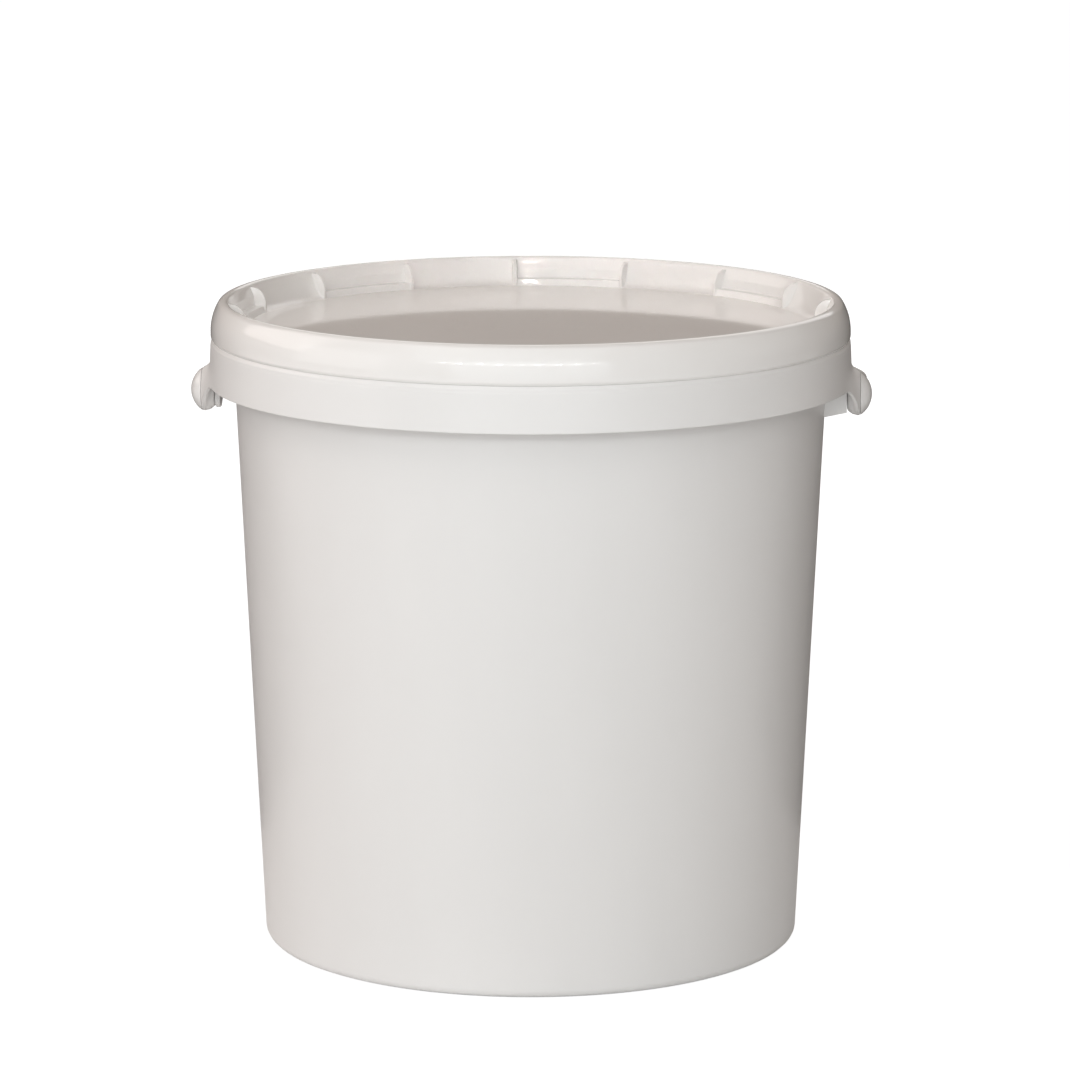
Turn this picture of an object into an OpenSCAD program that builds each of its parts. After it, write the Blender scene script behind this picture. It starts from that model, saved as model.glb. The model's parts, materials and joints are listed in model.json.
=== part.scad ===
// Fermenting bucket of about 30 litres, with a press-on lid and a plastic bail handle.
// Millimetres. The origin is the centre of the base, +Z is up, and the handle pivots on the X axis.

/* [Bucket] */
// Height of the bucket with its lid on
total_h = 386; // [380:1:400]
// Outer radius of the wall at the floor
base_r = 160; // [150:1:161]
// Outer radius of the wall at the collar's lower edge
wall_top_r = 175.8; // [175:0.1:176.2]
// Thickness of the wall
wall_t = 2.2; // [1.8:0.1:2.6]
// Thickness of the floor
floor_t = 3; // [2.4:0.1:4]
// Height of the foot ring under the floor
foot_h = 3; // [2:0.5:4]

/* [Collar] */
// Outer radius at the collar's lower edge
collar_low_r = 191.2; // [190.5:0.1:191.4]
// Outer radius at the collar's shoulder
collar_top_r = 190; // [189.5:0.1:190.3]
// Height of the collar
collar_h = 26.8; // [25:0.1:27]
// Thickness of the collar
collar_t = 2; // [1.6:0.1:2.2]
// Number of ribs between the collar and the wall, before those at the handle are left out
collar_rib_count = 24; // [16:4:32]

/* [Lid] */
// Outer radius of the lid's skirt
lid_r = 190; // [189.5:0.1:190.3]
// Depth of the panel below the top of the rim
panel_depth = 17; // [16:0.5:18]
// Thickness of the panel
panel_t = 2; // [1.6:0.1:2.4]
// Number of pockets around the recess wall
pocket_count = 16; // [12:1:20]

/* [Handle] */
// Thickness of the strap
strap_t = 3.4; // [3:0.1:3.8]
// Width of the strap
strap_w = 11; // [9:0.5:12]
// Width of the grip
grip_w = 22; // [18:1:26]
// Angle that the grip takes up on the strap's arc
grip_angle = 28; // [20:1:34]
// Diameter of the snap pins
pin_d = 9; // [8:0.1:9.4]

/* [Hidden] */
$fn = 96;
hull_fn = 32;

// Clearances
pin_clearance = 0.08;
seat_clearance = 0.35;

// Heights, from the top down
lid_skirt_low_z = total_h - 22.4;
collar_top_z = lid_skirt_low_z - 0.3;
collar_low_z = collar_top_z - collar_h;
rim_top_z = total_h - 5;
panel_z = total_h - panel_depth;
pivot_z = collar_low_z - 6.5;

// Bucket wall
taper = atan((wall_top_r - base_r) / collar_low_z);
foot_round = 6;
foot_in_r = base_r - 12;
floor_round = 8;
floor_top_z = foot_h + floor_t;
floor_hub_r = 22;
floor_rib_count = 8;
floor_rib_t = 2;

// Collar, web and rim
web_t = 2.2;
web_z = collar_top_z - web_t;
shoulder_round = 3.5;
rim_in_r = 180.3;
rim_out_r = 183;
bead_r = 185.6;
bead_low_z = rim_top_z - 8;
rim_round = 1.9;
flare_low_z = web_z - 3;
flare_top_z = collar_top_z + 2;
collar_rib_t = 1.8;
collar_rib_low_z = collar_low_z + 4.5;

// Handle pods and eye plates
seat_r = 13;
seat_x = 196;
pod_shell = 2.4;
pod_base_r = 19;
pod_base_x = 185;
hub_x = 189.5;
hub_bevel = 3.5;
wing_x = 181.5;
wing_y = 44;
wing_r = 5;
wing_z = collar_low_z + 5;
eye_x = 185;
eye_t = 3;
eye_half_w = 9;
eye_low_r = 11;
gusset_t = 2;
gusset_low_z = pivot_z - 13;
gusset_rise = 3;
rib_free_angle = 17;

// Lid
lid_t = 2.2;
crown_r = 30.7;
crown_angle = 30;
crown_z = total_h - 18;
lip_round = 5.05;
channel_top_z = total_h - 2.7;
channel_in_r = 179.6;
rim_edge_r = 179.3;
pocket_wall_r = 176;
ledge_z = panel_z + 4;
panel_r = 169.4;
hook_r = 186.2;
ridge_angle = 1;
lid_turn = 5.8;

// Seal
seal_in_r = 180.6;
seal_out_r = 184.2;
seal_low_z = rim_top_z + 0.2;

// Handle
boss_r = 12.7;
dome_centre_x = 188;
dome_h = 15;
dome_r = 15.3;
leg_x = 198.7;
arch_r = 203.5;
bend_r = 80;
arch_steps = 48;
leg_end = sqrt(pow(arch_r - bend_r, 2) - pow(leg_x - bend_r, 2));
bend_angle = atan(leg_end / (leg_x - bend_r));
head_r = 5.8;
head_tip_r = 3.6;
head_h = 4;
head_x = eye_x - 0.4;
grip_t = 8;
grip_in = 5;
grip_shell = 2.2;

// Points along an arc in the profile plane
function arc_points(centre, radius, from, to, steps) = [
    for (i = [0:steps])
        let (a = from + (to - from) * i / steps)
        [centre[0] + radius * cos(a), centre[1] + radius * sin(a)]
];

// Outer radius of the bucket's wall at a height
function wall_r(z) = base_r + z * tan(taper);

// Where the domed outline of the pod and boss stands at a distance from the pivot axis
function dome_x(r) = dome_centre_x + dome_h * sqrt(1 - pow(r / dome_r, 2));

// Outer face of the lid's skirt at a height above the start of the crown
function crown_face(z) = lid_r - crown_r * (1 - cos(asin((z - crown_z) / crown_r)));

// Turns the profile's own axis onto +X, so that a round shape sits on the handle's pivot
module on_pivot() {
    translate([0, 0, pivot_z]) rotate([0, 90, 0]) children();
}

// Puts one copy at each side of the bucket
module both_sides() {
    children();
    rotate([0, 0, 180]) children();
}

// ---- Bucket ----

// Half section of the wall, floor, foot ring, collar and rim
module bucket_profile() {
    corner_x = base_r + foot_round * (sin(taper) - 1) / cos(taper);
    floor_x = base_r - wall_t - floor_round + floor_top_z * tan(taper);
    polygon(concat(
        [[0, foot_h], [foot_in_r, foot_h], [foot_in_r + 1, 0]],
        arc_points([corner_x, foot_round], foot_round, -90, -taper, 6),
        [
            [wall_r(web_z - 2), web_z - 2],
            [wall_r(web_z) + 2, web_z],
            [collar_top_r - collar_t - 1.5, web_z],
            [collar_top_r - collar_t, web_z - 1.5],
            [collar_low_r - collar_t, collar_low_z + 0.6],
            [collar_low_r - collar_t + 0.6, collar_low_z],
            [collar_low_r - 0.6, collar_low_z],
            [collar_low_r, collar_low_z + 0.6]
        ],
        arc_points([collar_top_r - shoulder_round, collar_top_z - shoulder_round], shoulder_round, 0, 90, 6),
        [
            [rim_out_r + 1.5, collar_top_z],
            [rim_out_r, collar_top_z + 1.5],
            [rim_out_r, bead_low_z],
            [bead_r, bead_low_z + 1.8],
            [bead_r, rim_top_z - 3]
        ],
        arc_points([rim_in_r + rim_round, rim_top_z - rim_round], rim_round, 60, 180, 6),
        [
            [rim_in_r, flare_top_z],
            [wall_r(flare_low_z) - wall_t, flare_low_z]
        ],
        arc_points([floor_x, floor_top_z + floor_round], floor_round, -taper, -90, 6),
        [[0, floor_top_z]]
    ));
}

// Hub and spokes under the floor, level with the foot ring
module floor_ribs() {
    cylinder(h = foot_h + 0.5, r = floor_hub_r);
    for (i = [0:floor_rib_count - 1]) {
        rotate([0, 0, (i + 0.5) * 360 / floor_rib_count])
            translate([floor_hub_r - 2, -floor_rib_t / 2, 0])
                cube([foot_in_r + 4 - floor_hub_r, floor_rib_t, foot_h + 0.5]);
    }
}

// Upright plate along X, from the wall out to a distance from the axis, with its top in the web.
// Its lower edge rises outwards.
module wall_plate(out_x, low_z, rise, thickness) {
    translate([0, thickness / 2, 0])
        rotate([90, 0, 0])
            linear_extrude(thickness)
                polygon([
                    [wall_r(low_z) - 1, low_z],
                    [out_x, low_z + rise],
                    [out_x, web_z + 0.5],
                    [rim_in_r - 1, web_z + 0.5],
                    [wall_r(flare_low_z) - 1, flare_low_z]
                ]);
}

// Upright ribs that join the collar to the wall, left out where the handle pods are
module collar_ribs() {
    pitch = 360 / collar_rib_count;
    for (i = [0:collar_rib_count - 1]) {
        angle = (i + 0.5) * pitch;
        from_pod = min(abs(angle - 180), angle, 360 - angle);
        if (from_pod > rib_free_angle)
            rotate([0, 0, angle]) wall_plate(collar_top_r - 0.5, collar_rib_low_z, 0, collar_rib_t);
    }
}

// Smooth swelling on the collar that carries the boss's seat. With a thickness of its shell taken off
// all round, and reaching further in, the same form is its hollow.
module pod_form(shell, reach_in) {
    hull() {
        on_pivot() translate([0, 0, seat_x - shell - 1]) cylinder(h = 1, r = seat_r - shell, $fn = hull_fn);
        on_pivot() translate([0, 0, pod_base_x - reach_in])
            cylinder(h = 2, r = pod_base_r - shell, $fn = hull_fn);
        for (side = [-1, 1])
            translate([wing_x - reach_in, side * (wing_y - shell), wing_z])
                rotate([0, 90, 0]) cylinder(h = 2, r = wing_r - shell, $fn = hull_fn);
    }
}

// Bevelled hub behind the pod's seat, which gives the snap pin a long bearing
module seat_hub() {
    on_pivot() translate([0, 0, hub_x])
        cylinder(h = seat_x - hub_x - 0.5, r1 = seat_r - hub_bevel, r2 = seat_r);
}

// Plate that hangs from the web behind a pod, with the inner eye for the snap pin
module eye_plate() {
    on_pivot() translate([0, 0, eye_x]) cylinder(h = eye_t, r = eye_low_r);
    translate([eye_x, -eye_half_w, pivot_z]) cube([eye_t, 2 * eye_half_w, web_z + 0.5 - pivot_z]);
}

// The two gussets that hold the right eye plate off the wall. The left one has none.
module gussets() {
    for (side = [-1, 1])
        translate([0, side * (eye_half_w + gusset_t / 2), 0])
            wall_plate(eye_x + eye_t, gusset_low_z, gusset_rise, gusset_t);
}

// Running holes for the snap pin, through the seat, its hub and the eye plate
module pin_holes() {
    on_pivot() translate([0, 0, eye_x - 1])
        cylinder(h = seat_x - eye_x + 2, r = pin_d / 2 + pin_clearance);
}

module bucket() {
    color("whitesmoke")
    difference() {
        union() {
            difference() {
                union() {
                    rotate_extrude() bucket_profile();
                    both_sides() pod_form(0, 0);
                }
                both_sides() pod_form(pod_shell, 4);
            }
            floor_ribs();
            collar_ribs();
            both_sides() seat_hub();
            both_sides() eye_plate();
            gussets();
        }
        both_sides() pin_holes();
    }
}

// ---- Lid ----

// Half section of the skirt, crown, channel, recess wall and panel
module lid_profile() {
    lip_x = crown_face(crown_z + crown_r * sin(crown_angle)) - lip_round * cos(crown_angle);
    lip_z = total_h - lip_round;
    polygon(concat(
        [[0, panel_z - panel_t], [panel_r, panel_z - panel_t]],
        [
            [pocket_wall_r, ledge_z - 2.4],
            [channel_in_r - 1, ledge_z + 1],
            [channel_in_r, channel_top_z],
            [seal_out_r + 0.3, channel_top_z],
            [crown_face(total_h - 5) - lid_t, total_h - 5],
            [crown_face(total_h - 9) - lid_t, total_h - 9],
            [hook_r + 0.9, total_h - 13.5],
            [hook_r, total_h - 15],
            [hook_r, total_h - 17],
            [lid_r - lid_t, total_h - 19.5],
            [lid_r - lid_t, lid_skirt_low_z + 0.5],
            [lid_r - lid_t + 0.5, lid_skirt_low_z],
            [lid_r - 0.6, lid_skirt_low_z],
            [lid_r, lid_skirt_low_z + 0.6]
        ],
        arc_points([lid_r - crown_r, crown_z], crown_r, 0, crown_angle, 6),
        arc_points([lip_x, lip_z], lip_round, crown_angle + 10, 90, 5),
        arc_points([rim_edge_r + 2, total_h - 2], 2, 90, 180, 4),
        [
            [pocket_wall_r + 0.8, total_h - 6],
            [pocket_wall_r, ledge_z + 1],
            [pocket_wall_r - 1, ledge_z],
            [panel_r + 1.6, ledge_z],
            [panel_r + 0.6, ledge_z - 1],
            [panel_r, panel_z],
            [0, panel_z]
        ]
    ));
}

// Section of one ridge between two pockets, sweeping from the rim down to the panel
module ridge_profile() {
    polygon(concat(
        [[panel_r - 0.5, panel_z - 0.5], [pocket_wall_r + 1, ledge_z - 1], [pocket_wall_r + 2, total_h - 4]],
        arc_points([panel_r - 7, total_h - 4], 14, -5, -70, 6)
    ));
}

module lid() {
    color("white") {
        rotate_extrude() lid_profile();
        for (i = [0:pocket_count - 1])
            rotate([0, 0, lid_turn + i * 360 / pocket_count - ridge_angle / 2])
                rotate_extrude(angle = ridge_angle) ridge_profile();
    }
}

// ---- Seal ----

module lid_seal() {
    color("lightgrey")
    rotate_extrude()
        translate([seal_in_r, seal_low_z])
            square([seal_out_r - seal_in_r, channel_top_z - seal_low_z]);
}

// ---- Handle ----

// Domed boss on the pivot, with its pin through the seat and its snap head behind the eye plate
module boss() {
    on_pivot() {
        rotate_extrude()
            polygon(concat(
                [[0, seat_x + seat_clearance], [boss_r, seat_x + seat_clearance]],
                [for (i = [10:-1:0]) let (r = boss_r * i / 10) [r, dome_x(r)]]
            ));
        translate([0, 0, head_x - 0.5]) cylinder(h = seat_x + 1 - head_x, d = pin_d);
        translate([0, 0, head_x - head_h]) cylinder(h = head_h, r1 = head_tip_r, r2 = head_r);
    }
}

// One face of the strap, from its right end round the arch to its left end: a straight leg beside the
// lid, the bend, the arch, then the same back again. The offset is from the strap's middle line.
function strap_face(offset) = concat(
    [[leg_x + offset, 0]],
    arc_points([leg_x - bend_r, leg_end], bend_r + offset, 0, bend_angle, 5),
    arc_points([0, 0], arch_r + offset, bend_angle + 3, 177 - bend_angle, arch_steps),
    arc_points([bend_r - leg_x, leg_end], bend_r + offset, 180 - bend_angle, 180, 5),
    [[-leg_x - offset, 0]]
);

// Strap from boss to boss
module strap() {
    inner_face = strap_face(-strap_t / 2);
    translate([0, 0, pivot_z - strap_w / 2])
        linear_extrude(strap_w)
            polygon(concat(
                strap_face(strap_t / 2),
                [for (i = [len(inner_face) - 1:-1:0]) inner_face[i]]
            ));
}

// Hand grip: a deep channel, open towards the bucket, with the strap running on along its back
module grip() {
    translate([0, 0, pivot_z])
        rotate([0, 0, 90 - grip_angle / 2])
            rotate_extrude(angle = grip_angle)
                translate([arch_r - grip_in, 0])
                    difference() {
                        translate([0, -grip_w / 2]) square([grip_t, grip_w]);
                        translate([-1, -grip_w / 2 + grip_shell])
                            square([grip_t - grip_shell + 1, grip_w - 2 * grip_shell]);
                    }
}

module bail_handle() {
    color("white") {
        boss();
        mirror([1, 0, 0]) boss();
        strap();
        grip();
    }
}

bucket();
lid();
lid_seal();
bail_handle();
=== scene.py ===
"""Looks of a white plastic fermenting bucket with a press-on lid and a bail handle folded behind it.

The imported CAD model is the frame. Each of its four mouldings is rebuilt here with its real roundings,
pockets, ribs and edges, inside the CAD model's box. Lengths in this file are millimetres, and
finished_piece() turns them into Blender's metres.
"""

import json
from math import asin, atan2, cos, degrees, hypot, pi, radians, sin, sqrt, tan

import bmesh
import bpy
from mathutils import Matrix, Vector


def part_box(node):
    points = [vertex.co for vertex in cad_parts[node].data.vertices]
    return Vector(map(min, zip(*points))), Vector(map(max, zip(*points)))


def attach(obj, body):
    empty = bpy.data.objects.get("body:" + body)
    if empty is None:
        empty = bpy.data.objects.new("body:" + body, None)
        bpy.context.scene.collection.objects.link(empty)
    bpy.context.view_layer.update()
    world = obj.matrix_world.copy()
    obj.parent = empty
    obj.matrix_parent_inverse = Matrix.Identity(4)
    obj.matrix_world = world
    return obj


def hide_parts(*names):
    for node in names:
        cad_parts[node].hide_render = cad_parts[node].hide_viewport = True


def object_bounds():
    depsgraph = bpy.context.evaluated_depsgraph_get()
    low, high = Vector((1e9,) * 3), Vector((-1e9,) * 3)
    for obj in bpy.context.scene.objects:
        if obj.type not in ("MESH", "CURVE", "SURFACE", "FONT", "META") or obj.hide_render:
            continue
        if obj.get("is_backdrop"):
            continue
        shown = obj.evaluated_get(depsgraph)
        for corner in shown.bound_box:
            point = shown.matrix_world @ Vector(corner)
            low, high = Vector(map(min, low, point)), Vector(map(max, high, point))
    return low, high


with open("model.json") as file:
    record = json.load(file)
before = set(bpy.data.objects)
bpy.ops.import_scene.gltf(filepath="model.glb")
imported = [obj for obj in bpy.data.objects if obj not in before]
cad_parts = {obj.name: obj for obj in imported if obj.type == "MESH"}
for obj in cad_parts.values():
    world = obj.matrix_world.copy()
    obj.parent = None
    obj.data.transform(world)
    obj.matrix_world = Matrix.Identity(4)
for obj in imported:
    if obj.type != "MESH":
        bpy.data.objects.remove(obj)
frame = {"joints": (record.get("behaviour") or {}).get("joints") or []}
cad_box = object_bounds()

# ---- Driving sizes, from the frame ----

MM = 0.001
TOTAL_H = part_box("lid")[1].z / MM
RIM_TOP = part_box("bucket")[1].z / MM
LID_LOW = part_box("lid")[0].z / MM
LID_R = 190.0
EAR_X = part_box("bail_handle")[1].x / MM
PIVOT_Z = frame["joints"][1]["pos_m"][2] / MM

# ---- Bucket ----

BASE_R = 160.0
WALL_TOP_R = 175.8
WALL_T = 2.2
FOOT_H = 3.0
FOOT_IN_R = 148.0
FLOOR_TOP = 6.0
HUB_R = 22.0
FLOOR_RIBS = 8
FLOOR_RIB_T = 2.0
COLLAR_TOP = LID_LOW - 0.1
COLLAR_LOW = COLLAR_TOP - 27
COLLAR_LOW_R = 191.2
COLLAR_TOP_R = 190.0
COLLAR_T = 2.0
SHOULDER_H = 3.5
WEB_LOW = COLLAR_TOP - 2.2
RIM_IN_R = 180.3
RIM_OUT_R = 183.0
BEAD_R = 185.6
BEAD_LOW = RIM_TOP - 8
COLLAR_RIBS = 24
COLLAR_RIB_LOW = COLLAR_LOW + 4.5
RIB_T = 1.8

# Mesh rows of the collar as shares of its height: down its inside, then (share, inset) round its lower edge
COLLAR_INSIDE = (0.9, 0.7, 0.5, 0.35, 0.2, 0.1, 0.03)
COLLAR_EDGE = ((0.008, 1.85), (0, 1.5), (0, 0.5), (0.008, 0.15))
COLLAR_ROWS = 44

# ---- Handle pods on the collar. POD_ANGLE is half the angle round the bucket that a pod takes up. ----

SEAT_X = 196.0
SEAT_R = 12.9
POD_HALF_W = 50.0
POD_UP = 18.5
POD_EDGE_R = 13.0
POD_SKIRT_W = 38.0
POD_SHELL = 2.4
POD_ANGLE = 17.0
POD_FLARE = 2.2
POD_COLUMNS = 120
SIDE_COLUMNS = 110
SEAT_HUB_X = 188.3
EYE_X = 185.0
EYE_T = 3.0
EYE_R = 11.0
EYE_HALF_W = 9.0
GUSSET_T = 2.0
GUSSET_LOW = PIVOT_Z - 13
GUSSET_RISE = 3.0

# ---- Lid ----

LID_T = 2.2
CROWN_R = 30.7
CROWN_Z = TOTAL_H - 18
CROWN_ANGLE = 30
LIP_ROUND = 5.05
PANEL_Z = TOTAL_H - 17
PANEL_R = 169.4
PANEL_T = 2.0
POCKETS = 16
LID_TURN = 5.8
LEDGE_Z = PANEL_Z + 4
POCKET_R = 176.0
RIM_EDGE_R = 179.3
CHANNEL_TOP = TOTAL_H - 2.7
CHANNEL_IN_R = 179.6
HOOK_R = 186.2
SEAL_IN_R = 180.6
SEAL_OUT_R = 184.2

# Half a ridge's flat face and its side, in degrees round the lid
RIDGE_HALF = 0.24
RIDGE_SIDE_ANGLE = 0.34
# Where the mesh has columns, as shares of the half face, of the side and of half a pocket
RIDGE_CORE = (0.0, 0.5, 1.0)
RIDGE_SIDE = (0.15, 0.3, 0.5, 0.7, 0.85, 1.0)
POCKET_SHARE = (0.06, 0.14, 0.25, 0.4, 0.58, 0.78, 1.0)
# Share of a ridge's height that stays upright, and how a scooped pocket slopes
RIDGE_TURN = 0.35
SLOPE_POWER = 0.5

# ---- Handle ----

STRAP_T = 3.4
STRAP_W = 11.0
LEG_X = 198.7
ARCH_R = 203.5
BEND_R = 80.0
LEG_END = sqrt((ARCH_R - BEND_R) ** 2 - (LEG_X - BEND_R) ** 2)
BEND_ANGLE = degrees(atan2(LEG_END, LEG_X - BEND_R))
PIN_R = 4.5
BOSS_R = 12.7
BOSS_GAP = 0.12
HEAD_R = 5.8
HEAD_TIP_R = 3.6
HEAD_H = 4.0
DOME_X = 188.0
DOME_H = EAR_X - DOME_X
DOME_R = 15.3
DOME_STEPS = 14
GRIP_ANGLE = 28.0
GRIP_W = 22.0
GRIP_T = 8.0
GRIP_SHELL = 2.2
GRIP_RIBS = 6
GRIP_RIB_T = 1.4

# ---- Camera, in metres, degrees and millimetres of lens ----

CAMERA_TURN = 2.6
CAMERA_BACK = 3.1257
CAMERA_UP = 0.8437
CAMERA_DIP = 10.94
CAMERA_LENS = 177.15
CAMERA_SHIFT = 0.004

# ---- Studio, in metres, degrees and watts ----

LIGHT_AWAY = 2.6
LEFT_AWAY = 2.4
WHITE = (1, 1, 1)
MIDDLE = Vector((0, 0, TOTAL_H * MM / 2))
RECESS_BACK = Vector((0, 0.18, 0.375))
SPOTS = 9
SPOT_FIRST = -31
SPOT_LAST = 23
SPOT_AWAY = 2.3
SPOT_RISE = 23
SPOT_SIZE = (0.04, 0.04)
SPOT_POWER = 0.42
CARD_FOOT = 0.3
CARD_GAP = 0.002
CARD_TOP = 0.8
CARD_W = 0.9
CARD_H = 0.4
ROOM_COLOUR = (1.0, 0.8, 0.66, 1)
ROOM_STRENGTH = 0.146
FLOOR_R = 7
FLOOR_GAP = 0.0002
# The floor's glow falls from full at GLOW_EDGE to less at the bucket's foot: painted shade round the foot.
GLOW_EDGE = 1.4 * BASE_R * MM
GLOW_NEAR_FOOT_PAINTED_SHADE = 0.96


# ---- Outlines ----

def lerp(a, b, t):
    return a + (b - a) * t


def ease(t):
    """0 to 1 with a level start and end."""
    t = min(max(t, 0.0), 1.0)
    return t * t * (3 - 2 * t)


def arc(centre_x, centre_z, radius, start, end, steps):
    """Points on an arc, with its angles in degrees."""
    turns = [radians(lerp(start, end, i / steps)) for i in range(steps + 1)]
    return [Vector((centre_x + radius * cos(a), centre_z + radius * sin(a))) for a in turns]


def rounded(corners, closed=False, steps=5):
    """An outline through (x, z, radius) corners, each turned into an arc of its radius."""
    points = []
    for i, (x, z, radius) in enumerate(corners):
        here = Vector((x, z))
        at_end = not closed and i in (0, len(corners) - 1)
        if radius == 0 or at_end:
            points.append(here)
            continue
        back = Vector(corners[i - 1][:2]) - here
        on = Vector(corners[(i + 1) % len(corners)][:2]) - here
        half = back.angle(on) / 2
        reach = min(radius / tan(half), 0.49 * back.length, 0.49 * on.length)
        centre = here + (back.normalized() + on.normalized()).normalized() * reach / cos(half)
        start = here + back.normalized() * reach - centre
        end = here + on.normalized() * reach - centre
        for k in range(steps + 1):
            way = start.lerp(end, k / steps).normalized()
            points.append(centre + way * start.length)
    return points


# ---- Meshes ----

def skin(bm, rings, loop=False):
    """Faces between neighbouring rings of points. A ring of one point is a pole."""
    made = [[bm.verts.new(point) for point in points] for points in rings]
    pairs = list(zip(made, made[1:]))
    if loop:
        pairs.append((made[-1], made[0]))
    for low, high in pairs:
        count = max(len(low), len(high))
        for i in range(count):
            j = (i + 1) % count
            corners = [low[i % len(low)], low[j % len(low)], high[j % len(high)], high[i % len(high)]]
            bm.faces.new(list(dict.fromkeys(corners)))
    return made


def even_angles(count):
    return [2 * pi * i / count for i in range(count)]


def ring(radius, z, angles):
    """A level circle of points, or one point when the radius is nothing."""
    if radius < 1e-6:
        return [(0, 0, z)]
    return [(radius * cos(a), radius * sin(a), z) for a in angles]


def revolve(bm, profile, angles):
    """Turns an outline that starts and ends on the axis into a closed skin."""
    skin(bm, [ring(point.x, point.y, angles) for point in profile])


def on_pivot(bm, profile, side, count=64):
    """Turns an outline of (distance from the pivot's axis, x) about the handle's pivot."""
    turns = even_angles(count)
    rings = []
    for r, x in profile:
        if r < 1e-6:
            rings.append([(side * x, 0, PIVOT_Z)])
        else:
            rings.append([(side * x, r * cos(a), PIVOT_Z + r * sin(a)) for a in turns])
    skin(bm, rings)


def sweep(bm, path, section):
    """Runs a closed section of (outward, up) points along a level path of (point, outward) pairs."""
    rings = []
    for place, outward in path:
        rings.append([
            (place.x + outward.x * u, place.y + outward.y * u, PIVOT_Z + v)
            for u, v in section
        ])
    made = skin(bm, rings)
    bm.faces.new(made[0][::-1])
    bm.faces.new(made[-1])


def slab(bm, outline, thickness, place, edge=0.35):
    """A plate with its own rounded edges. place() takes (along, up, across) into the frame."""
    rings = []
    centre = sum(outline, Vector((0, 0))) / len(outline)
    half = thickness / 2
    for across, inset in ((-half, edge), (edge - half, 0), (half - edge, 0), (half, edge)):
        level = []
        for point in outline:
            inward = (centre - point).normalized() * inset
            level.append(place(point.x + inward.x, point.y + inward.y, across))
        rings.append(level)
    made = skin(bm, rings)
    bm.faces.new(made[0][::-1])
    bm.faces.new(made[-1])


def finished_piece(name, bm, material, body, sharp=38):
    """Turns millimetres into metres, shades the mesh, and puts the piece on its body."""
    bmesh.ops.scale(bm, vec=(MM, MM, MM), verts=bm.verts)
    bmesh.ops.recalc_face_normals(bm, faces=bm.faces)
    mesh = bpy.data.meshes.new(name)
    bm.to_mesh(mesh)
    bm.free()
    mesh.shade_smooth()
    mesh.set_sharp_from_angle(angle=radians(sharp))
    mesh.materials.append(material)
    piece = bpy.data.objects.new(name, mesh)
    bpy.context.scene.collection.objects.link(piece)
    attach(piece, body)
    return piece


# ---- Bucket ----

def wall_r(z):
    """Outer radius of the bucket's wall at a height."""
    return lerp(BASE_R, WALL_TOP_R, z / COLLAR_LOW)


def collar_r(z):
    """Outer radius of the collar at a height, with its slope carried on below it."""
    return lerp(COLLAR_LOW_R, COLLAR_TOP_R, (z - COLLAR_LOW) / (COLLAR_TOP - COLLAR_LOW))


def bucket_angles():
    """Columns round the bucket, close together at the two pods."""
    fine = [lerp(-POD_ANGLE, POD_ANGLE, i / POD_COLUMNS) for i in range(POD_COLUMNS + 1)]
    coarse = [lerp(POD_ANGLE, 180 - POD_ANGLE, i / SIDE_COLUMNS) for i in range(1, SIDE_COLUMNS)]
    half = fine + coarse
    return [radians(a) for a in half + [a + 180 for a in half]]


def pod_x(y, z):
    """Outer face of a pod: a flat seat round the pivot that sweeps out into the collar like a bell."""
    up = z - PIVOT_Z
    r = hypot(y, up)
    collar_x = sqrt(collar_r(z) ** 2 - y * y)
    if r <= SEAT_R:
        return SEAT_X
    reach = r / hypot(y / POD_HALF_W, up / POD_UP)
    out = min((r - SEAT_R) / (reach - SEAT_R), 1.0)
    return lerp(SEAT_X, collar_x, 1 - (1 - out) ** POD_FLARE)


def pod_low(angle):
    """Lower edge of the collar at an angle from the pivot: lowest under the seat, then rising outwards."""
    y = abs(SEAT_X * sin(angle))
    return lerp(PIVOT_Z - POD_EDGE_R, COLLAR_LOW, ease(y / POD_SKIRT_W))


def from_pod(angle):
    """Angle from the nearer pod."""
    return abs((angle + pi / 2) % pi - pi / 2)


def collar_point(angle, t, inset):
    """A point on the collar, t of the way up, and set in from its outer face."""
    near = from_pod(angle)
    z = lerp(pod_low(near), COLLAR_TOP - SHOULDER_H, t)
    radius = collar_r(z)
    if near < radians(POD_ANGLE):
        # The pod's face depends on the point's own y, so its radius is found by a few repeats.
        for _ in range(6):
            radius = max(pod_x(radius * sin(near), z) / cos(near), collar_r(z))
        inset *= lerp(1, POD_SHELL / COLLAR_T, ease((radius - collar_r(z)) / 2))
    radius -= inset
    return (radius * cos(angle), radius * sin(angle), z)


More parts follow.
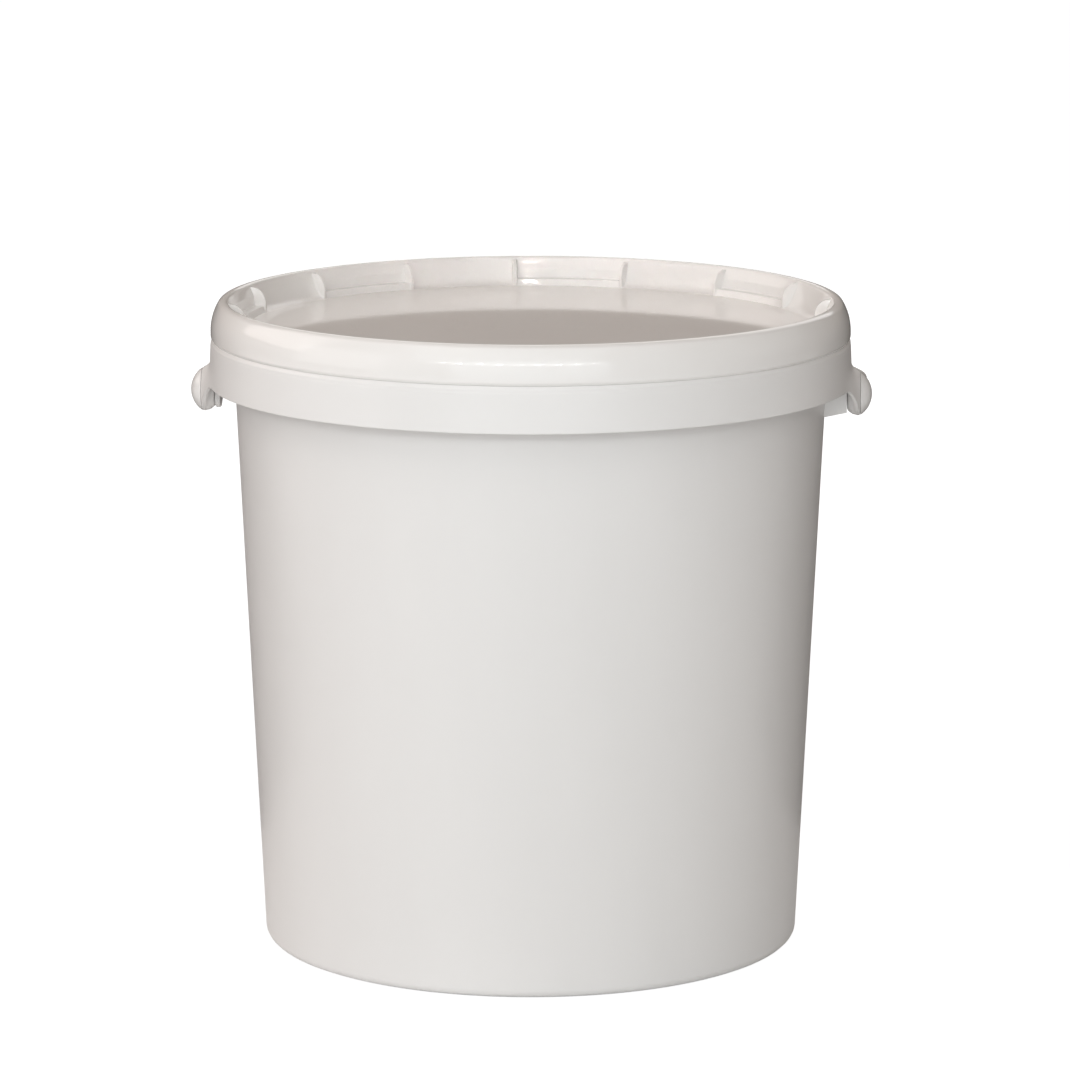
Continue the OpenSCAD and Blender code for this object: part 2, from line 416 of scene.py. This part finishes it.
def bucket_shell(bm, angles):
    """Wall, floor, foot ring, collar, pods and rim in one skin."""
    outside = rounded([
        (0, FOOT_H, 0),
        (FOOT_IN_R, FOOT_H, 0.8),
        (FOOT_IN_R + 1, 0, 0.6),
        (BASE_R, 0, 6),
        (wall_r(WEB_LOW), WEB_LOW, 2),
        (COLLAR_TOP_R - COLLAR_T, WEB_LOW, 0),
    ])
    rim_and_inside = rounded([
        (COLLAR_TOP_R - SHOULDER_H - 0.5, COLLAR_TOP, 0),
        (RIM_OUT_R, COLLAR_TOP, 1.5),
        (RIM_OUT_R, BEAD_LOW, 0.8),
        (BEAD_R, BEAD_LOW + 1.8, 0.7),
        (BEAD_R, RIM_TOP - 2.4, 1.4),
        (RIM_OUT_R + 0.4, RIM_TOP, 1.2),
        (RIM_IN_R, RIM_TOP, 1.9),
        (RIM_IN_R, COLLAR_TOP + 2, 3),
        (wall_r(WEB_LOW - 3) - WALL_T, WEB_LOW - 3, 4),
        (BASE_R - WALL_T + 0.3, FLOOR_TOP, 8),
        (0, FLOOR_TOP, 0),
    ], steps=6)
    shoulder = rounded([
        (COLLAR_TOP_R, COLLAR_TOP - SHOULDER_H, 0),
        (COLLAR_TOP_R, COLLAR_TOP - 2.2, 1.8),
        (COLLAR_TOP_R - 1, COLLAR_TOP, 0.4),
        (COLLAR_TOP_R - SHOULDER_H, COLLAR_TOP, 0),
    ], steps=6)
    rings = [ring(p.x, p.y, angles) for p in outside]
    rings += [[collar_point(a, t, COLLAR_T) for a in angles] for t in COLLAR_INSIDE]
    rings += [[collar_point(a, t, inset) for a in angles] for t, inset in COLLAR_EDGE]
    outer_rows = [lerp(0.025, 0.975, i / COLLAR_ROWS) for i in range(COLLAR_ROWS + 1)]
    rings += [[collar_point(a, t, 0) for a in angles] for t in outer_rows]
    rings += [ring(p.x, p.y, angles) for p in shoulder]
    rings += [ring(p.x, p.y, angles) for p in rim_and_inside]
    skin(bm, rings)


def upright_slab(bm, angle, corners, thickness, aside=0.0):
    """A plate along a radius, with its outline given as (distance from the axis, height)."""
    def place(along, up, across):
        return (
            along * cos(angle) - (across + aside) * sin(angle),
            along * sin(angle) + (across + aside) * cos(angle),
            up,
        )
    slab(bm, [Vector(corner) for corner in corners], thickness, place)


def wall_plate(bm, angle, out_r, low, rise, thickness, aside=0.0):
    """A plate from the wall out to a radius. Its top is in the web, and its lower edge rises outwards."""
    corners = [
        (wall_r(low) - 1, low),
        (out_r, low + rise),
        (out_r, WEB_LOW + 0.5),
        (RIM_IN_R - 1, WEB_LOW + 0.5),
        (wall_r(WEB_LOW - 3) - 1, WEB_LOW - 3),
    ]
    upright_slab(bm, angle, corners, thickness, aside)


def collar_ribs(bm):
    """Ribs between the collar and the wall, left out where the pods are."""
    for i in range(COLLAR_RIBS):
        angle = radians((i + 0.5) * 360 / COLLAR_RIBS)
        if from_pod(angle) > radians(POD_ANGLE):
            wall_plate(bm, angle, COLLAR_TOP_R - 0.7, COLLAR_RIB_LOW, 0, RIB_T)


def floor_ribs(bm):
    """Hub and spokes under the floor, level with the foot ring."""
    hub = rounded([(0, 0, 0), (HUB_R, 0, 0.8), (HUB_R, FOOT_H + 0.5, 0), (0, FOOT_H + 0.5, 0)])
    revolve(bm, hub, even_angles(96))
    for i in range(FLOOR_RIBS):
        corners = [
            (HUB_R - 2, 0),
            (FOOT_IN_R + 3, 0),
            (FOOT_IN_R + 3, FOOT_H + 0.5),
            (HUB_R - 2, FOOT_H + 0.5),
        ]
        upright_slab(bm, radians((i + 0.5) * 360 / FLOOR_RIBS), corners, FLOOR_RIB_T)


def eye_plate(bm, side):
    """Plate with the inner eye that hangs from the web behind a pod."""
    lower = arc(0, PIVOT_Z, EYE_R, -180 + 35, -35, 14)
    outline = [Vector((-EYE_HALF_W, WEB_LOW + 0.5))] + lower + [Vector((EYE_HALF_W, WEB_LOW + 0.5))]

    def place(along, up, across):
        return (side * (EYE_X + EYE_T / 2 + across), along, up)

    slab(bm, outline, EYE_T, place, edge=0.5)


def seat_hub(bm, side):
    """Round bearing hub behind a pod's seat."""
    outline = rounded([
        (0, SEAT_HUB_X, 0),
        (SEAT_R - 3, SEAT_HUB_X, 3),
        (SEAT_R - 0.2, SEAT_X - 4, 5),
        (SEAT_R - 0.2, SEAT_X - 0.4, 0),
        (0, SEAT_X - 0.4, 0),
    ], steps=8)
    on_pivot(bm, outline, side)


def gussets(bm):
    """The two gussets that hold the right eye plate off the wall."""
    for side in (-1, 1):
        aside = side * (EYE_HALF_W + GUSSET_T / 2)
        wall_plate(bm, 0, EYE_X + EYE_T, GUSSET_LOW, GUSSET_RISE, GUSSET_T, aside)


def make_bucket(material):
    bm = bmesh.new()
    bucket_shell(bm, bucket_angles())
    collar_ribs(bm)
    floor_ribs(bm)
    gussets(bm)
    for side in (-1, 1):
        seat_hub(bm, side)
        eye_plate(bm, side)
    piece = finished_piece("bucket_moulding", bm, material, "bucket")
    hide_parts("bucket")


# ---- Lid ----

def lid_columns():
    """(angle in degrees, share of pocket, number of the pocket) round the lid."""
    pitch = 360 / POCKETS
    columns = []
    start = RIDGE_HALF + RIDGE_SIDE_ANGLE
    offsets = [(RIDGE_HALF * c, 0.0) for c in RIDGE_CORE]
    offsets += [(lerp(RIDGE_HALF, start, c), ease(c)) for c in RIDGE_SIDE]
    offsets += [(lerp(start, pitch / 2, c), 1.0) for c in POCKET_SHARE]
    for k in range(POCKETS):
        middle = 90 + LID_TURN + k * pitch
        columns += [(middle + offset, share, k) for offset, share in offsets]
        columns += [(middle + pitch - offset, share, k) for offset, share in offsets[-2:0:-1]]
    return columns


def lid_ring(radius, z):
    return ring(radius, z, [radians(angle) for angle, _, _ in lid_columns()])


def ridge_r(s):
    """Distance of a ridge's face from the axis: upright above the panel, then rounding over to the rim."""
    turn = max((s - RIDGE_TURN) / (1 - RIDGE_TURN), 0.0)
    return RIM_EDGE_R - (RIM_EDGE_R - PANEL_R) * sqrt(1 - turn * turn)


def recess_rings():
    """Recess wall from the rim down to the panel: ridges, with scooped and stepped pockets by turns."""
    stepped = rounded([
        (RIM_EDGE_R, TOTAL_H - 2, 0),
        (POCKET_R + 0.8, TOTAL_H - 7, 3),
        (POCKET_R, LEDGE_Z, 0.9),
        (PANEL_R + 1.2, LEDGE_Z, 0.8),
        (PANEL_R, PANEL_Z, 0),
    ], steps=5)
    count = len(stepped)
    rings = []
    for i, step in enumerate(stepped):
        s = 1 - i / (count - 1)
        z = lerp(PANEL_Z, TOTAL_H - 2, s)
        ridge = Vector((ridge_r(s), z))
        scoop = Vector((lerp(PANEL_R, RIM_EDGE_R, s ** SLOPE_POWER), z))
        row = []
        for angle, share, pocket in lid_columns():
            point = ridge.lerp(step if pocket % 2 else scoop, share)
            row.append((point.x * cos(radians(angle)), point.x * sin(radians(angle)), point.y))
        rings.append(row)
    return rings


def crown_face(z):
    """Outer radius of the lid's skirt in its crown."""
    return LID_R - CROWN_R * (1 - cos(asin((z - CROWN_Z) / CROWN_R)))


def lid_underside():
    """From the middle of the panel's underside, through the rim's channel, to the foot of the skirt."""
    return rounded([
        (0, PANEL_Z - PANEL_T, 0),
        (PANEL_R, PANEL_Z - PANEL_T, 2),
        (POCKET_R, LEDGE_Z - 2.4, 1.5),
        (CHANNEL_IN_R - 1, LEDGE_Z + 1, 1.5),
        (CHANNEL_IN_R, CHANNEL_TOP, 0.4),
        (SEAL_OUT_R + 0.3, CHANNEL_TOP, 0.4),
        (crown_face(TOTAL_H - 5) - LID_T, TOTAL_H - 5, 1),
        (crown_face(TOTAL_H - 9) - LID_T, TOTAL_H - 9, 1),
        (HOOK_R + 0.9, TOTAL_H - 13.5, 0.5),
        (HOOK_R, TOTAL_H - 15, 0.6),
        (HOOK_R, TOTAL_H - 17, 0.6),
        (LID_R - LID_T, TOTAL_H - 19.5, 1),
        (LID_R - LID_T, LID_LOW, 0.2),
        (LID_R - 1, LID_LOW, 0.25),
        (LID_R, LID_LOW + 1.6, 1.3),
        (LID_R, CROWN_Z, 0),
    ], steps=4)


def make_lid(material, painted_shade_panel_material):
    crown_top = CROWN_Z + CROWN_R * sin(radians(CROWN_ANGLE))
    lip_x = crown_face(crown_top) - LIP_ROUND * cos(radians(CROWN_ANGLE))
    outside = arc(LID_R - CROWN_R, CROWN_Z, CROWN_R, 0, CROWN_ANGLE, 12)[1:]
    outside += arc(lip_x, TOTAL_H - LIP_ROUND, LIP_ROUND, CROWN_ANGLE + 8, 90, 8)
    outside += arc(RIM_EDGE_R + 2, TOTAL_H - 2, 2, 96, 172, 5)
    bm = bmesh.new()
    rings = [lid_ring(p.x, p.y) for p in lid_underside() + outside]
    rings += recess_rings()
    rings += [lid_ring(PANEL_R * share, PANEL_Z) for share in (0.985, 0.85, 0.6, 0.35, 0.12, 0)]
    skin(bm, rings)
    piece = finished_piece("lid_moulding", bm, material, "lid", sharp=30)
    # The panel's faces get the darker panel material: painted shade on the panel.
    piece.data.materials.append(painted_shade_panel_material)
    inside = (PANEL_R + 0.2) * MM
    for face in piece.data.polygons:
        on_top = face.center.z > (PANEL_Z - 0.5) * MM
        if on_top and hypot(face.center.x, face.center.y) < inside:
            face.material_index = 1
    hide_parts("lid")


def make_seal(material):
    outline = rounded([
        (SEAL_IN_R, RIM_TOP + 0.2, 0.5),
        (SEAL_OUT_R, RIM_TOP + 0.2, 0.5),
        (SEAL_OUT_R, CHANNEL_TOP, 0.3),
        (SEAL_IN_R, CHANNEL_TOP, 0.3),
    ], closed=True, steps=4)
    bm = bmesh.new()
    angles = even_angles(256)
    skin(bm, [ring(p.x, p.y, angles) for p in outline], loop=True)
    piece = finished_piece("seal_ring", bm, material, "lid")
    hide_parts("lid_seal")


# ---- Handle ----

def strap_path():
    """Middle line of the strap as (point, outward) pairs, from the right boss round to the left one."""
    def along(centre_x, centre_y, radius, start, end, steps):
        points = arc(centre_x, centre_y, radius, start, end, steps)
        turns = [radians(lerp(start, end, i / steps)) for i in range(steps + 1)]
        return [(point, Vector((cos(a), sin(a)))) for point, a in zip(points, turns)]

    path = [(Vector((LEG_X, 0)), Vector((1, 0)))]
    path += along(LEG_X - BEND_R, LEG_END, BEND_R, 0, BEND_ANGLE, 10)
    path += along(0, 0, ARCH_R, BEND_ANGLE + 1.5, 178.5 - BEND_ANGLE, 120)
    path += along(BEND_R - LEG_X, LEG_END, BEND_R, 180 - BEND_ANGLE, 180, 10)
    path.append((Vector((-LEG_X, 0)), Vector((-1, 0))))
    return path


def strap(bm):
    """Flat strap with rounded edges."""
    half_t = STRAP_T / 2
    half_w = STRAP_W / 2
    section = rounded([
        (-half_t, -half_w, 1.1),
        (half_t, -half_w, 1.3),
        (half_t, half_w, 1.3),
        (-half_t, half_w, 1.1),
    ], closed=True, steps=4)
    sweep(bm, strap_path(), section)


def grip(bm):
    """Hand grip: a deep rounded channel, open towards the bucket, with small cross ribs inside it."""
    out_r = EAR_X + 3.5
    half_w = GRIP_W / 2
    section = rounded([
        (0, -half_w, 2.6),
        (0, half_w, 2.6),
        (-GRIP_T, half_w, 0.8),
        (-GRIP_T, half_w - GRIP_SHELL, 0.8),
        (-GRIP_SHELL, half_w - GRIP_SHELL, 1.2),
        (-GRIP_SHELL, GRIP_SHELL - half_w, 1.2),
        (-GRIP_T, GRIP_SHELL - half_w, 0.8),
        (-GRIP_T, -half_w, 0.8),
    ], closed=True, steps=4)
    turns = [radians(90 + lerp(-0.5, 0.5, i / 40) * GRIP_ANGLE) for i in range(41)]
    path = [(Vector((out_r * cos(a), out_r * sin(a))), Vector((cos(a), sin(a)))) for a in turns]
    sweep(bm, path, section)
    for i in range(1, GRIP_RIBS + 1):
        angle = radians(90 + lerp(-0.5, 0.5, i / (GRIP_RIBS + 1)) * GRIP_ANGLE)
        corners = [
            (out_r - GRIP_T + 1.5, PIVOT_Z - half_w + 1.5),
            (out_r - 1, PIVOT_Z - half_w + 1.5),
            (out_r - 1, PIVOT_Z + half_w - 1.5),
            (out_r - GRIP_T + 1.5, PIVOT_Z + half_w - 1.5),
        ]
        upright_slab(bm, angle, corners, GRIP_RIB_T)


def boss(bm, side):
    """Domed boss on the pivot, with its pin and the snap head behind the eye plate."""
    seat = SEAT_X + BOSS_GAP
    dome = [BOSS_R * sin(pi / 2 * i / DOME_STEPS) for i in range(DOME_STEPS, -1, -1)]
    profile = [(0, seat), (BOSS_R - 0.5, seat), (BOSS_R - 0.12, seat + 0.1)]
    profile += [(r, DOME_X + DOME_H * sqrt(1 - (r / DOME_R) ** 2)) for r in dome]
    on_pivot(bm, profile, side)
    head_x = EYE_X - 0.4
    pin = [
        (0, head_x - HEAD_H),
        (HEAD_TIP_R - 0.4, head_x - HEAD_H),
        (HEAD_TIP_R, head_x - HEAD_H + 0.4),
        (HEAD_R, head_x - 0.4),
        (HEAD_R - 0.3, head_x),
        (PIN_R, head_x),
        (PIN_R, SEAT_X + 1),
        (0, SEAT_X + 1),
    ]
    on_pivot(bm, pin, side, count=48)


def make_bail(material):
    bm = bmesh.new()
    strap(bm)
    grip(bm)
    for side in (-1, 1):
        boss(bm, side)
    piece = finished_piece("bail_moulding", bm, material, "bail", sharp=42)
    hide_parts("bail_handle")


# ---- Materials ----

CLOUD_SCALE = 14
GLOSS_SCALE = 30
PEEL_SCALE = 420
RUBBER_CLOUD_SCALE = 60
RUBBER_GLOSS_SCALE = 200
RUBBER_GRAIN_SCALE = 900
EVEN = (1, 1, 1)


def new_material(name):
    material = bpy.data.materials.new(name)
    material.use_nodes = True
    nodes = material.node_tree.nodes
    return material, nodes, material.node_tree.links, nodes["Principled BSDF"]


def noise(nodes, links, vector, scale, detail=3.0):
    node = nodes.new("ShaderNodeTexNoise")
    node.inputs["Scale"].default_value = scale
    node.inputs["Detail"].default_value = detail
    links.new(vector, node.inputs["Vector"])
    return node.outputs["Fac"]


def spread(nodes, links, value, low, high):
    """Turns noise, which stays near a half, into values from low to high."""
    node = nodes.new("ShaderNodeMapRange")
    node.clamp = False
    node.inputs["From Min"].default_value = 0.25
    node.inputs["From Max"].default_value = 0.75
    node.inputs["To Min"].default_value = low
    node.inputs["To Max"].default_value = high
    links.new(value, node.inputs["Value"])
    return node.outputs["Result"]


def colour_between(nodes, links, factor, first, second):
    node = nodes.new("ShaderNodeMix")
    node.data_type = "RGBA"
    node.inputs["A"].default_value = (*first, 1)
    node.inputs["B"].default_value = (*second, 1)
    links.new(factor, node.inputs["Factor"])
    return node.outputs["Result"]


def roughen(nodes, links, shader, height, distance, strength):
    """Fine relief on a surface, as deep as a distance in metres."""
    bump = nodes.new("ShaderNodeBump")
    bump.inputs["Distance"].default_value = distance
    bump.inputs["Strength"].default_value = strength
    links.new(height, bump.inputs["Height"])
    links.new(bump.outputs["Normal"], shader.inputs["Normal"])


def white_plastic(name, light, deep, roughness, peel=0.00003, streaks=(1, 1, 0.3)):
    """Moulded polypropylene: clouded white, flow streaks, orange peel and slightly uneven gloss."""
    material, nodes, links, shader = new_material(name)
    place = nodes.new("ShaderNodeTexCoord").outputs["Object"]
    stretch = nodes.new("ShaderNodeMapping")
    stretch.inputs["Scale"].default_value = streaks
    links.new(place, stretch.inputs["Vector"])
    clouds = noise(nodes, links, stretch.outputs["Vector"], CLOUD_SCALE)
    tone = spread(nodes, links, clouds, 0, 1)
    links.new(colour_between(nodes, links, tone, light, deep), shader.inputs["Base Color"])
    gloss = noise(nodes, links, place, GLOSS_SCALE)
    links.new(spread(nodes, links, gloss, roughness * 0.93, roughness * 1.07), shader.inputs["Roughness"])
    grain = noise(nodes, links, place, PEEL_SCALE, detail=2)
    roughen(nodes, links, shader, grain, peel, 0.6)
    shader.inputs["IOR"].default_value = 1.49
    return material


def seal_rubber():
    """Soft grey thermoplastic rubber."""
    material, nodes, links, shader = new_material("seal_rubber")
    place = nodes.new("ShaderNodeTexCoord").outputs["Object"]
    tone = spread(nodes, links, noise(nodes, links, place, RUBBER_CLOUD_SCALE), 0, 1)
    colour = colour_between(nodes, links, tone, (0.5, 0.5, 0.48), (0.42, 0.42, 0.41))
    links.new(colour, shader.inputs["Base Color"])
    rough = spread(nodes, links, noise(nodes, links, place, RUBBER_GLOSS_SCALE), 0.5, 0.62)
    links.new(rough, shader.inputs["Roughness"])
    grain = noise(nodes, links, place, RUBBER_GRAIN_SCALE)
    roughen(nodes, links, shader, grain, 0.00004, 1.0)
    return material


# ---- Studio ----

def make_camera():
    camera = bpy.data.cameras.new("camera")
    camera.lens = CAMERA_LENS
    camera.shift_x = CAMERA_SHIFT
    camera.clip_end = 50
    holder = bpy.data.objects.new("camera", camera)
    turn = radians(CAMERA_TURN)
    holder.location = (CAMERA_BACK * sin(turn), -CAMERA_BACK * cos(turn), CAMERA_UP)
    holder.rotation_euler = (radians(90 - CAMERA_DIP), 0, turn)
    bpy.context.scene.collection.objects.link(holder)
    bpy.context.scene.camera = holder


def softbox(name, azimuth, elevation, size, power, colour=WHITE, away=LIGHT_AWAY, target=MIDDLE):
    """A rectangular light aimed at a target. Azimuth 0 is the camera's side, and left is negative."""
    light = bpy.data.lights.new(name, "AREA")
    light.shape = "RECTANGLE"
    light.size = size[0]
    light.size_y = size[1]
    light.energy = power
    light.color = colour
    holder = bpy.data.objects.new(name, light)
    turn = radians(azimuth + CAMERA_TURN)
    rise = radians(elevation)
    way = Vector((sin(turn) * cos(rise), -cos(turn) * cos(rise), sin(rise)))
    holder.location = target + way * away
    holder.rotation_euler = way.to_track_quat("Z", "Y").to_euler()
    holder.visible_camera = False
    bpy.context.scene.collection.objects.link(holder)
    return holder


def make_lights():
    """Soft lights in front, washes from the left, gentle fills right and behind, and a row of spots."""
    softbox("front", 0, 10, (2.6, 1.8), 22, (0.9, 0.97, 1))
    softbox("front_high", -10, 44, (2.8, 2.4), 20.5, (0.93, 0.98, 1))
    softbox("left_low", -70, 14, (1.6, 1.2), 6, (1, 0.98, 0.98), LEFT_AWAY)
    softbox("left_side", -105, 32, (1.6, 1.6), 13, (1, 0.9, 0.86), LEFT_AWAY)
    softbox("left_high", -50, 62, (1.6, 1.6), 5, (1, 0.88, 0.8), LEFT_AWAY)
    softbox("right_high", 50, 55, (1.6, 1.6), 3, (1, 0.9, 0.84))
    softbox("right_side", 95, 24, (1.6, 1.6), 1.8, (1, 0.95, 0.9))
    softbox("back", 170, 35, (2.0, 1.4), 12)
    back_low = softbox("back_low", 180, 8, (2.6, 1.6), 32)
    back_low.visible_glossy = False
    over_lid = softbox("over_lid", 0, 30, (0.3, 0.1), 0.02, (1, 0.9, 0.85), target=RECESS_BACK)
    over_lid.data.spread = radians(5)
    for i in range(SPOTS):
        azimuth = lerp(SPOT_FIRST, SPOT_LAST, i / (SPOTS - 1))
        softbox("spot_%d" % i, azimuth, SPOT_RISE, SPOT_SIZE, SPOT_POWER, away=SPOT_AWAY)


def make_dark_card(name, azimuth):
    """A black card that leans away from the bucket, unseen by the camera, and darkens one edge of it."""
    material, _, _, shader = new_material(name)
    shader.inputs["Base Color"].default_value = (0.02, 0.02, 0.02, 1)
    shader.inputs["Roughness"].default_value = 0.9
    turn = radians(azimuth + CAMERA_TURN)
    away = Vector((sin(turn), -cos(turn), 0))
    along = Vector((cos(turn), sin(turn), 0)) * CARD_W / 2
    foot = away * CARD_FOOT + Vector((0, 0, CARD_GAP))
    top = away * CARD_TOP + Vector((0, 0, CARD_H))
    bm = bmesh.new()
    corners = (foot - along, foot + along, top + along, top - along)
    bm.faces.new([bm.verts.new(corner) for corner in corners])
    mesh = bpy.data.meshes.new(name)
    bm.to_mesh(mesh)
    bm.free()
    mesh.materials.append(material)
    card = bpy.data.objects.new(name, mesh)
    card.visible_camera = False
    bpy.context.scene.collection.objects.link(card)
    card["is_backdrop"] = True


def make_world():
    """A dim warm grey studio, seen by the camera as white."""
    world = bpy.data.worlds.new("studio")
    bpy.context.scene.world = world
    world.use_nodes = True
    nodes = world.node_tree.nodes
    links = world.node_tree.links
    room = nodes["Background"]
    room.inputs["Color"].default_value = ROOM_COLOUR
    room.inputs["Strength"].default_value = ROOM_STRENGTH
    backdrop = nodes.new("ShaderNodeBackground")
    backdrop.inputs["Color"].default_value = (1, 1, 1, 1)
    backdrop.inputs["Strength"].default_value = 1.0
    path = nodes.new("ShaderNodeLightPath")
    mix = nodes.new("ShaderNodeMixShader")
    links.new(path.outputs["Is Camera Ray"], mix.inputs["Fac"])
    links.new(room.outputs["Background"], mix.inputs[1])
    links.new(backdrop.outputs["Background"], mix.inputs[2])
    links.new(mix.outputs["Shader"], nodes["World Output"].inputs["Surface"])


def make_floor():
    """Pale floor that runs out into the white backdrop. The camera sees it overlit, as on a light table.
    Its glow dims a little towards the bucket's foot, which is painted shade round the foot, added over the
    real contact shadow of its matt part.
    """
    material, nodes, links, shader = new_material("floor")
    place = nodes.new("ShaderNodeTexCoord").outputs["Object"]
    tone = spread(nodes, links, noise(nodes, links, place, 6), 0, 1)
    colour = colour_between(nodes, links, tone, (0.86, 0.86, 0.86), (0.84, 0.84, 0.84))
    links.new(colour, shader.inputs["Base Color"])
    shader.inputs["Roughness"].default_value = 0.9
    distance = nodes.new("ShaderNodeVectorMath")
    distance.operation = "LENGTH"
    links.new(place, distance.inputs[0])
    # Glow that dims towards the bucket's foot: painted shade round the foot.
    glow_with_painted_shade = nodes.new("ShaderNodeMapRange")
    glow_with_painted_shade.interpolation_type = "SMOOTHSTEP"
    glow_with_painted_shade.inputs["From Min"].default_value = BASE_R * MM
    glow_with_painted_shade.inputs["From Max"].default_value = GLOW_EDGE
    glow_with_painted_shade.inputs["To Min"].default_value = GLOW_NEAR_FOOT_PAINTED_SHADE
    glow_with_painted_shade.inputs["To Max"].default_value = 1.0
    links.new(distance.outputs["Value"], glow_with_painted_shade.inputs["Value"])
    lit = nodes.new("ShaderNodeEmission")
    links.new(glow_with_painted_shade.outputs["Result"], lit.inputs["Strength"])
    matt = nodes.new("ShaderNodeBsdfDiffuse")
    matt.inputs["Color"].default_value = (0.15, 0.15, 0.15, 1)
    seen = nodes.new("ShaderNodeAddShader")
    links.new(lit.outputs["Emission"], seen.inputs[0])
    links.new(matt.outputs["BSDF"], seen.inputs[1])
    path = nodes.new("ShaderNodeLightPath")
    mix = nodes.new("ShaderNodeMixShader")
    links.new(path.outputs["Is Camera Ray"], mix.inputs["Fac"])
    links.new(shader.outputs["BSDF"], mix.inputs[1])
    links.new(seen.outputs["Shader"], mix.inputs[2])
    links.new(mix.outputs["Shader"], nodes["Material Output"].inputs["Surface"])
    bm = bmesh.new()
    bmesh.ops.create_circle(bm, cap_ends=True, segments=128, radius=FLOOR_R)
    mesh = bpy.data.meshes.new("floor")
    bm.to_mesh(mesh)
    bm.free()
    mesh.materials.append(material)
    floor = bpy.data.objects.new("floor", mesh)
    floor.location.z = -FLOOR_GAP
    bpy.context.scene.collection.objects.link(floor)
    floor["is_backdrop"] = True


bucket_white = white_plastic("bucket_plastic", (0.86, 0.85, 0.84), (0.83, 0.82, 0.81), 0.34)
lid_white = white_plastic("lid_plastic", (0.89, 0.875, 0.86), (0.88, 0.86, 0.84), 0.1, 0.00001, EVEN)
# The panel is moulded in one with the lid. Its colour, darker and warmer than the rest of the lid, is
# painted shade for the dim panel in the recess.
panel_white_painted_shade = white_plastic("panel_plastic_painted_shade", (0.86, 0.84, 0.82), (0.85, 0.82, 0.8), 0.07, 0.000004, EVEN)
handle_white = white_plastic("handle_plastic", (0.86, 0.85, 0.84), (0.84, 0.83, 0.82), 0.13, 0.00001)

make_bucket(bucket_white)
make_lid(lid_white, panel_white_painted_shade)
make_seal(seal_rubber())
make_bail(handle_white)
make_camera()
make_lights()
make_dark_card("card_behind_right", 148)
make_dark_card("card_behind_left", -148)
make_world()
make_floor()
bpy.context.scene.view_settings.view_transform = "Standard"

size = {"cad": cad_box, "visual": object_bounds()}
{key: [list(corner) for corner in box] for key, box in size.items()}
